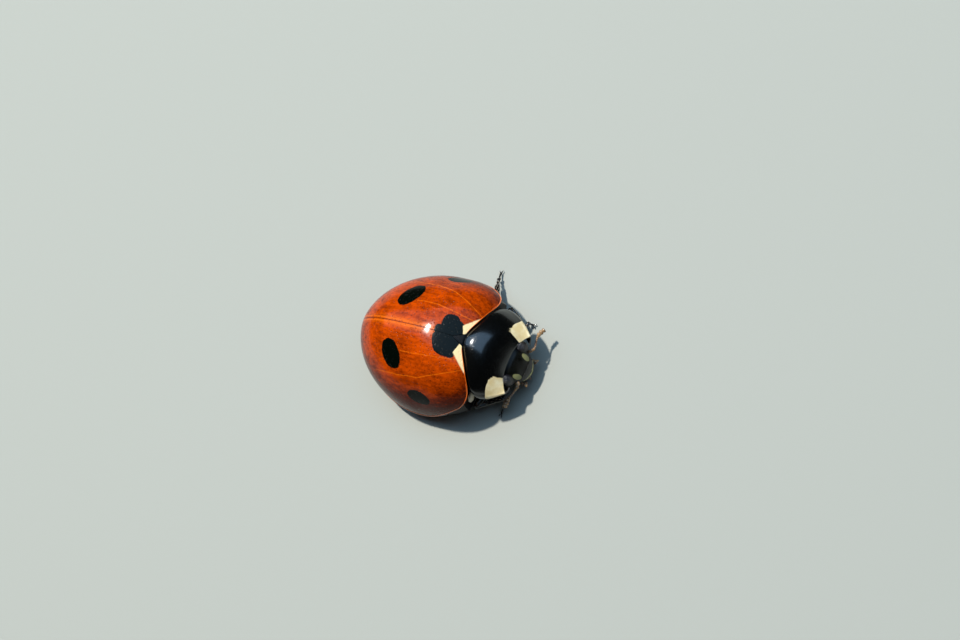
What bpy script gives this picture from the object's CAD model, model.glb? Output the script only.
"""Seven-spot ladybird: a still, life-size museum model, dressed over its solid parts.

The beetle faces -Y and its left side is towards +X. A place on it is written as (side, ahead, up): the
distance to its left, the distance ahead of the widest line across the wing cases, and the height above
the floor. Stance turns such a place into one in the shared frame.
"""

import logging
import math
from contextlib import contextmanager
from dataclasses import dataclass, field
from enum import Enum
from typing import Callable, Iterator, Sequence, Union

import bpy
import numpy as np
from mathutils import Matrix, Vector


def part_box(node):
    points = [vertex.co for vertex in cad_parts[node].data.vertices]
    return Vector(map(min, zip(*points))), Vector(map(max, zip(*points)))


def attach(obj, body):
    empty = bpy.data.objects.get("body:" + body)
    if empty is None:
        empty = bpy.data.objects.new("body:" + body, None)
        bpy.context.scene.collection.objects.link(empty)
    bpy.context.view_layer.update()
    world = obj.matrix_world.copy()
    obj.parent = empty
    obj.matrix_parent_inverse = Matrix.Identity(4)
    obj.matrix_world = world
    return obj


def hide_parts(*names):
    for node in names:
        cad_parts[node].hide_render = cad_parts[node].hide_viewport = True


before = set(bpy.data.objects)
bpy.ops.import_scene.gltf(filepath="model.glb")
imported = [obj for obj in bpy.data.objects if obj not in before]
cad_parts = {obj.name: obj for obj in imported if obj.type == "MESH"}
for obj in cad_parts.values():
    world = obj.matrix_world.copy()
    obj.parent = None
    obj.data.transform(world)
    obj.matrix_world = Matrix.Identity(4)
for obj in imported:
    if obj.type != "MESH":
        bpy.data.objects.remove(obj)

MM = 0.001  # metres in a millimetre: pieces are modelled in millimetres, and dress() brings them to metres
GOLDEN_TURN = math.pi * (3 - math.sqrt(5))  # spreads hairs evenly round a limb
BEHIND_ALL = -10.0  # further behind than any piece reaches
WELD = 1e-4  # points nearer than this become one
LOG = logging.getLogger("ladybird")

Piece = bpy.types.Object
Material = bpy.types.Material
Triple = tuple[float, float, float]
Colour = Triple
Array = np.ndarray
Places = tuple[Array, Array, Array]
Surface = Callable[[Array, Array], Places]


class Hand(Enum):
    """The beetle's own left and right, as the sign of the side."""

    LEFT = 1
    RIGHT = -1

    @property
    def word(self) -> str:
        """The word that ends the name of a piece on this side."""
        return self.name.lower()


class Slot(Enum):
    """The record's material slots."""

    WING_CASE = "wing_case"
    SHIELD = "shield"
    BODY = "body"
    EYE = "eye"
    LEG = "leg"
    FEELER = "feeler"


# ---- Where the beetle stands, and the forms that several pieces share ----


@dataclass(frozen=True)
class Stance:
    """Where the beetle's own middle lies in the shared frame, in millimetres."""

    middle_x: float
    widest_y: float

    @classmethod
    def from_solids(cls, hind_hip_ahead: float = -0.10) -> "Stance":
        """Reads the middle from the two hind hips, which lie level on either side of it.

        Args:
            hind_hip_ahead: how far ahead of the widest line the hind hips lie.

        Returns:
            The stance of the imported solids.
        """
        left = sum(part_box("coxa_hind_left"), Vector()) / (2 * MM)
        right = sum(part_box("coxa_hind_right"), Vector()) / (2 * MM)
        return cls((left.x + right.x) / 2, left.y + hind_hip_ahead)

    def at(self, side: float, ahead: float, up: float) -> Vector:
        """The point of the shared frame at one place on the beetle."""
        return Vector((self.middle_x + side, self.widest_y - ahead, up))

    def rows(self, places: Places) -> Array:
        """The points of the shared frame at many places, one to a row."""
        side, ahead, up = places
        return np.stack([self.middle_x + side, self.widest_y - ahead, up], axis=1)


STANCE = Stance.from_solids()


@dataclass(frozen=True)
class Dome:
    """The dome that the two wing cases form, measured on its outer face."""

    top: float = 3.365
    half_width: float = 2.666
    ahead: float = 2.975
    behind: float = 3.298
    rim_height: float = 0.70
    shoulder_rise: float = 0.75
    outline_ahead: float = 2.42
    outline_behind: float = 1.898
    flank_power: float = 2.2
    front_power: float = 2.144
    rear_power: float = 2.724
    rise_power: float = 1.952
    ridge_drop: float = 0.05
    ridge_width: float = 0.42

    def outline(self, turn: Array) -> tuple[Array, Array]:
        """The foot of the dome in each direction.

        Args:
            turn: directions about the middle, in radians, 0 to the left and a quarter turn ahead.

        Returns:
            How far to the side and how far ahead the foot lies.
        """
        across, along = np.cos(turn), np.sin(turn)
        length = np.where(along >= 0, self.ahead, self.behind)
        power = np.where(along >= 0, self.outline_ahead, self.outline_behind)
        reach = (np.abs(across / self.half_width) ** power + np.abs(along / length) ** power) ** (-1 / power)
        return reach * across, reach * along

    def power(self, turn: Array) -> Array:
        """How square the flank is in each direction.

        Args:
            turn: directions about the middle, in radians.

        Returns:
            The power of the flank's curve.
        """
        across = np.abs(np.cos(turn)) / self.half_width
        front = np.sin(turn) > 0
        along = np.abs(np.sin(turn)) / np.where(front, self.ahead, self.behind)
        share = along**2 / (along**2 + across**2)
        end_power = np.where(front, self.front_power, self.rear_power)
        return self.flank_power + (end_power - self.flank_power) * share

    def rim(self, turn: Array) -> Array:
        """The height of the edge in each direction: it rises towards the shoulders."""
        shoulder = np.where(np.sin(turn) > 0, np.sin(2 * turn) ** 2, 0.0)
        return self.rim_height + self.shoulder_rise * shoulder

    def at_share(self, turn: Array, share: Array) -> Places:
        """Places on the dome.

        Args:
            turn: directions about the middle.
            share: 0 at the top and 1 at the foot, as a share of the foot's reach.

        Returns:
            The places.
        """
        side, ahead = self.outline(turn)
        rise = np.clip(1 - share ** self.power(turn), 0.0, 1.0) ** (1 / self.rise_power)
        rim = self.rim(turn)
        up = rim + (self.top - rim) * rise - self.beside_ridge(side * share, rise)
        return side * share, ahead * share, up

    def height(self, side: Array, ahead: Array) -> Array:
        """The height of the outer face over each place.

        Args:
            side: how far to the side each place lies.
            ahead: how far ahead it lies.

        Returns:
            The heights.
        """
        front = ahead >= 0
        power = np.where(front, self.outline_ahead, self.outline_behind)
        length = np.where(front, self.ahead, self.behind)
        reach = (np.abs(side / self.half_width) ** power + np.abs(ahead / length) ** power) ** (1 / power)
        turn = np.arctan2(ahead, side)
        rise = np.clip(1 - reach ** self.power(turn), 0.0, 1.0) ** (1 / self.rise_power)
        rim = self.rim(turn)
        return rim * (1 - rise) + self.top * rise - self.beside_ridge(side, rise)

    def beside_ridge(self, side: Array, rise: Array) -> Array:
        """How much lower the dome lies beside the low ridge along its middle line."""
        return self.ridge_drop * (1 - np.exp(-((side / self.ridge_width) ** 2) / 2)) * rise


DOME = Dome()


@dataclass(frozen=True)
class Shield:
    """The form of the pronotum, and the line where it meets the wing cases."""

    back_middle: float = 1.94
    back_sweep: float = 0.64
    back_sweep_width: float = 1.075
    back_half_width: float = 1.80
    front_middle: float = 3.36
    front_corner: float = 3.58
    front_half_width: float = 1.16
    front_height: float = 1.66
    corner_height: float = 1.31
    bulge: float = 0.42
    side_curve: float = 1.8
    front_curve: float = 3.0
    height_curve: float = 2.4
    hind_corner: float = 0.18
    hind_corner_power: int = 5
    hind_corner_fade: float = 0.10
    neck_ahead: float = 2.1
    neck_turn: float = math.radians(-5.2)

    def back(self, side: Array) -> Array:
        """How far ahead the hind edge lies."""
        return self.back_middle + self.back_sweep * side**2 / (side**2 + self.back_sweep_width**2)

    def turned(self, places: Places, share: Union[Array, float] = 1.0) -> Places:
        """Turns places about the neck, by all of its turn or by a share of it.

        Args:
            places: the places.
            share: the share of the turn that each takes.

        Returns:
            The turned places.
        """
        side, ahead, up = places
        angle = self.neck_turn * share
        forward = ahead - self.neck_ahead
        turned_side = side * np.cos(angle) + forward * np.sin(angle)
        turned_ahead = self.neck_ahead + forward * np.cos(angle) - side * np.sin(angle)
        return turned_side, turned_ahead, up

    def at(self, across: Array, along: Array) -> Places:
        """Places on the outer face.

        Args:
            across: -1 at the right edge to 1 at the left edge.
            along: 0 at the hind edge to 1 in front.

        Returns:
            The places.
        """
        width = self.back_half_width - (self.back_half_width - self.front_half_width) * along**self.side_curve
        back_side = across * self.back_half_width
        back = self.back(back_side)
        rounded = self.hind_corner * across**self.hind_corner_power
        near_back = np.exp(-along / self.hind_corner_fade)
        spread = np.abs(across)
        front = self.front_middle + (self.front_corner - self.front_middle) * spread**self.front_curve
        drop = self.front_height - self.corner_height
        front_height = self.corner_height + drop * (1 - spread**self.height_curve)
        back_height = DOME.height(back_side, back)
        up = back_height + (front_height - back_height) * along
        up = up + (DOME.height(back_side - rounded, back) - back_height) * near_back
        up = up + self.bulge * 4 * along * (1 - along) * (1 - across**2)
        side = across * width - rounded * near_back
        return self.turned((side, back + (front - back) * along, up), along)


SHIELD = Shield()


@dataclass(frozen=True)
class Face:
    """The head's own axes: across it, down the face and out along the face's normal."""

    slope: float = math.radians(58.0)

    def at(self, side: Array, down: Array, out: Array) -> Places:
        """Places on the head, turned with it about the neck.

        Args:
            side: how far to the side each place lies.
            down: how far down the face.
            out: how far out along the face's normal.

        Returns:
            The places.
        """
        ahead = out * math.sin(self.slope) + down * math.cos(self.slope)
        up = out * math.cos(self.slope) - down * math.sin(self.slope)
        return SHIELD.turned((side, ahead, up))

    def point(self, side: float, down: float, out: float) -> Vector:
        """One place on the head as a point of the shared frame."""
        return STANCE.at(*(float(value) for value in self.at(side, down, out)))


FACE = Face()


# ---- Modelling ----


def deselect() -> None:
    """Leaves object mode with nothing selected."""
    if bpy.context.mode != "OBJECT":
        bpy.ops.object.mode_set(mode="OBJECT")
    bpy.ops.object.select_all(action="DESELECT")


def pick(piece: Piece) -> None:
    """Makes one piece the only one selected, and the active one.

    Args:
        piece: the piece.
    """
    deselect()
    piece.select_set(True)
    bpy.context.view_layer.objects.active = piece


@contextmanager
def editing(piece: Piece) -> Iterator[None]:
    """Opens the whole mesh of a piece for editing, and closes it afterwards.

    Args:
        piece: the piece.

    Returns:
        The context.
    """
    pick(piece)
    bpy.ops.object.mode_set(mode="EDIT")
    bpy.ops.mesh.select_all(action="SELECT")
    yield
    bpy.ops.object.mode_set(mode="OBJECT")


def apply_modifier(piece: Piece, kind: str, **settings: object) -> None:
    """Adds a modifier and applies it.

    Args:
        piece: the piece that it shapes.
        kind: the modifier's type.
        settings: its settings by name.
    """
    pick(piece)
    bpy.ops.object.modifier_add(type=kind)
    modifier = piece.modifiers[-1]
    for name, value in settings.items():
        setattr(modifier, name, value)
    bpy.ops.object.modifier_apply(modifier=modifier.name)


def round_edges(piece: Piece, width: float, angle: float) -> None:
    """Rounds every edge that bends more sharply than an angle.

    Args:
        piece: the piece.
        width: how wide the rounding is.
        angle: the angle in degrees.
    """
    apply_modifier(
        piece, "BEVEL", width=width, segments=2, limit_method="ANGLE", angle_limit=math.radians(angle)
    )


def ball(name: str, radii: Sequence[float], segments: int, rings: int) -> Piece:
    """A ball about the origin with its own radius along each axis.

    Args:
        name: the piece's name.
        radii: the radii along X, Y and Z.
        segments: how many faces run round it.
        rings: how many run from pole to pole.

    Returns:
        The piece.
    """
    deselect()
    bpy.ops.mesh.primitive_uv_sphere_add(segments=segments, ring_count=rings, radius=1.0, enter_editmode=True)
    bpy.ops.transform.resize(value=radii, center_override=(0, 0, 0))
    bpy.ops.object.mode_set(mode="OBJECT")
    piece = bpy.context.active_object
    piece.name = name
    return piece


def merge_points(piece: Piece, distance: float) -> None:
    """Merges points that coincide and turns the faces outwards.

    Args:
        piece: the piece.
        distance: how near two points lie that become one.
    """
    with editing(piece):
        bpy.ops.mesh.remove_doubles(threshold=distance)
        bpy.ops.mesh.normals_make_consistent(inside=False)


def face_away(piece: Piece, inside: Vector) -> None:
    """Turns the faces of an open sheet away from a point.

    Args:
        piece: the sheet.
        inside: the point.
    """
    facing = 0.0
    for polygon in piece.data.polygons:
        facing += polygon.area * polygon.normal.dot(polygon.center - inside)
    if facing < 0:
        with editing(piece):
            bpy.ops.mesh.flip_normals()


def settle(piece: Piece, matrix: Matrix) -> None:
    """Moves a piece by a matrix and applies its place to its mesh.

    Args:
        piece: the piece.
        matrix: the matrix.
    """
    pick(piece)
    piece.matrix_world = matrix @ piece.matrix_world
    bpy.ops.object.transform_apply(location=True, rotation=True, scale=True)


def join(name: str, pieces: Sequence[Piece]) -> Piece:
    """Joins several pieces into one.

    Args:
        name: the joined piece's name.
        pieces: the pieces, the first of which gives the joined one its place.

    Returns:
        The joined piece.
    """
    pick(pieces[0])
    for piece in pieces[1:]:
        piece.select_set(True)
    bpy.ops.object.join()
    pieces[0].name = name
    pieces[0].data.name = name
    return pieces[0]


def copy_of(piece: Piece, name: str) -> Piece:
    """A copy of a piece, with a mesh of its own.

    Args:
        piece: the piece.
        name: the copy's name.

    Returns:
        The copy.
    """
    twin = piece.copy()
    twin.data = piece.data.copy()
    twin.name = name
    twin.data.name = name
    bpy.context.scene.collection.objects.link(twin)
    return twin


def mirrored(piece: Piece, name: str) -> Piece:
    """A copy of a closed piece on the beetle's other side.

    Args:
        piece: the piece.
        name: the copy's name.

    Returns:
        The mirrored copy, with its faces outwards.
    """
    twin = copy_of(piece, name)
    middle = Vector((STANCE.middle_x, 0, 0))
    flip = Matrix.Translation(middle) @ Matrix.Scale(-1, 4, Vector((1, 0, 0))) @ Matrix.Translation(-middle)
    settle(twin, flip)
    with editing(twin):
        bpy.ops.mesh.normals_make_consistent(inside=False)
    return twin


def draped(name: str, columns: int, rows: int, surface: Surface) -> Piece:
    """Adds a grid and lays it over a surface.

    Args:
        name: the piece's name.
        columns: the grid's faces across.
        rows: the grid's faces along.
        surface: gives the places for two arrays of shares from 0 to 1, across and along.

    Returns:
        The piece, whose UV map holds the two shares.
    """
    deselect()
    bpy.ops.mesh.primitive_grid_add(x_subdivisions=columns, y_subdivisions=rows, size=1.0, location=(0, 0, 0))
    piece = bpy.context.active_object
    piece.name = name
    mesh = piece.data
    mesh.name = name
    flat = np.empty(len(mesh.vertices) * 3)
    mesh.vertices.foreach_get("co", flat)
    grid = flat.reshape(-1, 3) + 0.5
    points = STANCE.rows(surface(np.clip(grid[:, 0], 0, 1), np.clip(grid[:, 1], 0, 1)))
    mesh.vertices.foreach_set("co", points.ravel())
    mesh.update()
    return piece


@dataclass(frozen=True)
class Ring:
    """One ring of a drawn piece, in millimetres: its place along the axis, its half sizes and its shift."""

    along: float
    half_width: float
    half_depth: float
    shift_x: float = 0.0
    shift_y: float = 0.0


def drawn(name: str, rings: Sequence[Ring], sides: int, levels: int) -> Piece:
    """Draws a solid out of a filled circle, one extrusion to each ring, along +Z.

    Args:
        name: the piece's name.
        rings: the rings in order.
        sides: the circle's corners.
        levels: how often the solid is then subdivided.

    Returns:
        The closed piece.
    """
    deselect()
    first = rings[0]
    bpy.ops.mesh.primitive_circle_add(vertices=sides, radius=1.0, fill_type="NGON", enter_editmode=True)
    bpy.ops.transform.resize(value=(first.half_width, first.half_depth, 1.0), center_override=(0, 0, 0))
    bpy.ops.transform.translate(value=(first.shift_x, first.shift_y, first.along))
    for before, ring in zip(rings, rings[1:]):
        step = (ring.shift_x - before.shift_x, ring.shift_y - before.shift_y, ring.along - before.along)
        bpy.ops.mesh.extrude_region_move(TRANSFORM_OT_translate={"value": step})
        bpy.ops.transform.resize(
            value=(ring.half_width / before.half_width, ring.half_depth / before.half_depth, 1.0),
            center_override=(ring.shift_x, ring.shift_y, ring.along),
        )
    bpy.ops.mesh.select_all(action="SELECT")
    bpy.ops.mesh.normals_make_consistent(inside=False)
    bpy.ops.object.mode_set(mode="OBJECT")
    piece = bpy.context.active_object
    piece.name = name
    piece.data.name = name
    if levels:
        apply_modifier(piece, "SUBSURF", levels=levels, render_levels=levels)
    return piece


def span(start: Vector, end: Vector, thickness: float = 1.0, towards: Vector = Vector((0, 0, 1))) -> Matrix:
    """The place of a drawn piece of unit length between two points.

    Args:
        start: where its foot goes.
        end: where its tip goes.
        thickness: what its width is multiplied by.
        towards: the direction that its +Y keeps near to.

    Returns:
        The matrix, which stretches the piece's length and multiplies its width.
    """
    along = (end - start).normalized()
    across = towards.cross(along).normalized()
    upright = along.cross(across)
    turn = Matrix((across * thickness, upright * thickness, end - start)).transposed()
    return Matrix.Translation(start) @ turn.to_4x4()


def place_copy(pattern: Piece, name: str, matrix: Matrix) -> Piece:
    """A copy of a pattern piece, set in place.

    Args:
        pattern: the pattern piece.
        name: the copy's name.
        matrix: the copy's place.

    Returns:
        The copy.
    """
    twin = copy_of(pattern, name)
    settle(twin, matrix)
    return twin


def discard(piece: Piece) -> None:
    """Removes a pattern piece whose copies are in place.

    Args:
        piece: the pattern piece.
    """
    mesh = piece.data
    bpy.data.objects.remove(piece)
    bpy.data.meshes.remove(mesh)


def dress(
    piece: Piece, material: Material, nodes: Sequence[str] = (), angle: float = 40.0
) -> None:
    """Shades a finished piece, brings it to metres, gives it its material, and sets it on the body.

    Args:
        piece: the finished piece.
        material: its material.
        nodes: the solids that it stands for.
        angle: the bend in degrees past which an edge stays sharp.
    """
    pick(piece)
    bpy.ops.object.shade_smooth_by_angle(angle=math.radians(angle))
    settle(piece, Matrix.Scale(MM, 4))
    piece.data.materials.clear()
    piece.data.materials.append(material)
    for polygon in piece.data.polygons:
        polygon.material_index = 0
    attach(piece, "root")
    if nodes:
        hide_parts(*nodes)
    LOG.info("%s: %d faces", piece.name, len(piece.data.polygons))


# ---- Shader wiring ----

Operand = Union["Value", float]


class Value:
    """A shader socket that takes part in Python expressions."""

    def __init__(self, wiring: "Wiring", socket: bpy.types.NodeSocket) -> None:
        """Holds the socket and the wiring that it belongs to."""
        self.wiring = wiring
        self.socket = socket

    def __add__(self, other: Operand) -> "Value":
        """The sum."""
        return self.wiring.math("ADD", self, other)

    def __radd__(self, other: Operand) -> "Value":
        """The sum, with this value second."""
        return self.wiring.math("ADD", other, self)

    def __sub__(self, other: Operand) -> "Value":
        """The difference."""
        return self.wiring.math("SUBTRACT", self, other)

    def __rsub__(self, other: Operand) -> "Value":
        """The difference, with this value taken away."""
        return self.wiring.math("SUBTRACT", other, self)

    def __mul__(self, other: Operand) -> "Value":
        """The product."""
        return self.wiring.math("MULTIPLY", self, other)

    def __truediv__(self, other: Operand) -> "Value":
        """The quotient."""
        return self.wiring.math("DIVIDE", self, other)

    def __pow__(self, other: Operand) -> "Value":
        """The power."""
        return self.wiring.math("POWER", self, other)

    def __abs__(self) -> "Value":
        """The size without its sign."""
        return self.wiring.math("ABSOLUTE", self)

    def least(self, other: Operand) -> "Value":
        """The smaller of this and another."""
        return self.wiring.math("MINIMUM", self, other)

    def most(self, other: Operand) -> "Value":
        """The larger of this and another."""
        return self.wiring.math("MAXIMUM", self, other)

    def root(self) -> "Value":
        """The square root."""
        return self.wiring.math("SQRT", self)

    def rising(self, low: float, high: float) -> "Value":
        """0 below the low value and 1 above the high one, with a smooth step between.

        Args:
            low: where the step begins.
            high: where it ends.

        Returns:
            The step.
        """
        settings = {"interpolation_type": "SMOOTHSTEP"}
        values = {"Value": self, "From Min": low, "From Max": high}
        return Value(self.wiring, self.wiring.node("ShaderNodeMapRange", settings, values).outputs["Result"])

    def falling(self, low: float, high: float) -> "Value":
        """1 below the low value and 0 above the high one, with a smooth step between."""
        return 1.0 - self.rising(low, high)


class Wiring:
    """The nodes of one material."""

    def __init__(self, name: str) -> None:
        """Makes a material with its Principled shader.

        Args:
            name: the material's name.
        """
        self.material = bpy.data.materials.new(name)
        self.material.use_nodes = True
        self.tree = self.material.node_tree
        self.shader = self.tree.nodes["Principled BSDF"]

    def connect(self, socket: bpy.types.NodeSocket, value: object) -> None:
        """Links a value to a socket, or sets it there.

        Args:
            socket: the socket.
            value: the value, a colour or a link.
        """
        if isinstance(value, Value):
            self.tree.links.new(value.socket, socket)
        elif socket.type == "RGBA" and len(value) == 3:
            socket.default_value = (*value, 1.0)
        else:
            socket.default_value = value

    def node(
        self, kind: str, settings: dict[str, object], values: dict[Union[str, int], object]
    ) -> bpy.types.Node:
        """Adds a node.

        Args:
            kind: the node's type.
            settings: its own settings by name, which are set first.
            values: the value or the link of each input, by its name or number.

        Returns:
            The node.
        """
        made = self.tree.nodes.new(kind)
        for name, setting in settings.items():
            setattr(made, name, setting)
        for key, value in values.items():
            self.connect(made.inputs[key], value)
        return made

    def math(self, operation: str, *operands: Operand) -> Value:
        """Adds a Math node over one or two operands."""
        made = self.node("ShaderNodeMath", {"operation": operation}, dict(enumerate(operands)))
        return Value(self, made.outputs[0])

    def position(self) -> Value:
        """The place on the piece in the shared frame."""
        return Value(self, self.node("ShaderNodeTexCoord", {}, {}).outputs["Object"])

    def shares(self) -> tuple[Value, Value]:
        """The shares that a draped piece keeps in its UV map.

        Returns:
            The share across and the share along.
        """
        shares = Value(self, self.node("ShaderNodeUVMap", {}, {}).outputs[0])
        parts = self.node("ShaderNodeSeparateXYZ", {}, {0: shares})
        return Value(self, parts.outputs["X"]), Value(self, parts.outputs["Y"])

    def beetle_axes(self, position: Value) -> tuple[Value, Value, Value]:
        """The side, ahead and up of a place, in millimetres.

        Args:
            position: the place on the piece.

        Returns:
            The three distances.
        """
        parts = self.node("ShaderNodeSeparateXYZ", {}, {0: position})
        side = Value(self, parts.outputs["X"]) * (1 / MM) - STANCE.middle_x
        ahead = STANCE.widest_y - Value(self, parts.outputs["Y"]) * (1 / MM)
        return side, ahead, Value(self, parts.outputs["Z"]) * (1 / MM)

    def measure(self, position: Value, origin: Vector, direction: Vector) -> Value:
        """The distance from an origin along a direction, in millimetres.

        Args:
            position: the place on the piece.
            origin: the origin, in millimetres.
            direction: the direction.

        Returns:
            The distance.
        """
        values = {0: position, 1: tuple(direction.normalized() / MM)}
        made = self.node("ShaderNodeVectorMath", {"operation": "DOT_PRODUCT"}, values)
        return Value(self, made.outputs["Value"]) - origin.dot(direction.normalized())

    def noise(self, position: Value, size: float, detail: float = 2.0, roughness: float = 0.5) -> Value:
        """Cloudy variation from 0 to 1 whose patches are about so many millimetres across."""
        values = {"Vector": position, "Scale": 1 / (size * MM), "Detail": detail, "Roughness": roughness}
        return Value(self, self.node("ShaderNodeTexNoise", {}, values).outputs["Fac"])

    def stretched(self, position: Value, factors: Triple) -> Value:
        """The place with each axis squeezed by its own factor, so that patterns there grow long."""
        made = self.node("ShaderNodeVectorMath", {"operation": "MULTIPLY"}, {0: position, 1: factors})
        return Value(self, made.outputs["Vector"])

    def cells(self, position: Value, size: float, randomness: float = 1.0) -> Value:
        """The distance to the nearest of many points that lie about so many millimetres apart."""
        values = {"Vector": position, "Scale": 1 / (size * MM), "Randomness": randomness}
        return Value(self, self.node("ShaderNodeTexVoronoi", {}, values).outputs["Distance"])

    def mix(self, share: Operand, first: object, second: object) -> Value:
        """One colour at 0 and another at 1."""
        values = {0: share, 6: first, 7: second}
        return Value(self, self.node("ShaderNodeMix", {"data_type": "RGBA"}, values).outputs[2])

    def bump(self, height: Value, depth: float, before: Union[Value, None] = None) -> Value:
        """A bump of so many millimetres where the height goes from 0 to 1.

        Args:
            height: the height from 0 to 1.
            depth: how deep it is in millimetres.
            before: a bump that this one is added to.

        Returns:
            The normal.
        """
        values: dict[Union[str, int], object] = {"Height": height, "Distance": depth * MM, "Strength": 1.0}
        if before is not None:
            values["Normal"] = before
        return Value(self, self.node("ShaderNodeBump", {}, values).outputs["Normal"])

    def finish(self, **inputs: object) -> Material:
        """Sets the shader's inputs, named with _ for a space, and returns the material.

        Args:
            inputs: the inputs' values or links by name.

        Returns:
            The material.
        """
        for name, value in inputs.items():
            self.connect(self.shader.inputs[name.replace("_", " ")], value)
        return self.material


# ---- Finishes ----


@dataclass(frozen=True)
class Spot:
    """An oval mark on the wing cases, in millimetres: its middle, its long direction and its half sizes."""

    middle: tuple[float, float]
    direction: tuple[float, float]
    half_length: float
    half_width: float

    def field(self, wiring: Wiring, position: Value, hand: Hand) -> Value:
        """The distance from the middle as a share of the oval's own reach.

        Args:
            wiring: the material's nodes.
            position: the place on the piece.
            hand: the side that the spot lies on.

        Returns:
            The field, which is 1 on the oval's edge.
        """
        reach = 0.05
        side, ahead = self.middle
        step_side, step_ahead = self.direction[0] * reach, self.direction[1] * reach
        height = [
            float(DOME.height(np.array(side + shift), np.array(ahead + lift)))
            for shift, lift in ((0, 0), (step_side, step_ahead), (reach, 0), (0, reach))
        ]
        along = Vector((step_side, -step_ahead, height[1] - height[0]))
        normal = Vector(((height[0] - height[2]) / reach, -(height[0] - height[3]) / reach, 1.0))
        across = normal.cross(along)
        mirror = Vector((hand.value, 1, 1))
        middle = STANCE.at(side * hand.value, ahead, height[0])
        lengthwise = wiring.measure(position, middle, along * mirror) / self.half_length
        crosswise = wiring.measure(position, middle, across * mirror) / self.half_width
        outward = wiring.measure(position, middle, normal * mirror) / (2 * self.half_length)
        return (lengthwise * lengthwise + crosswise * crosswise + outward * outward).root()


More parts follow.
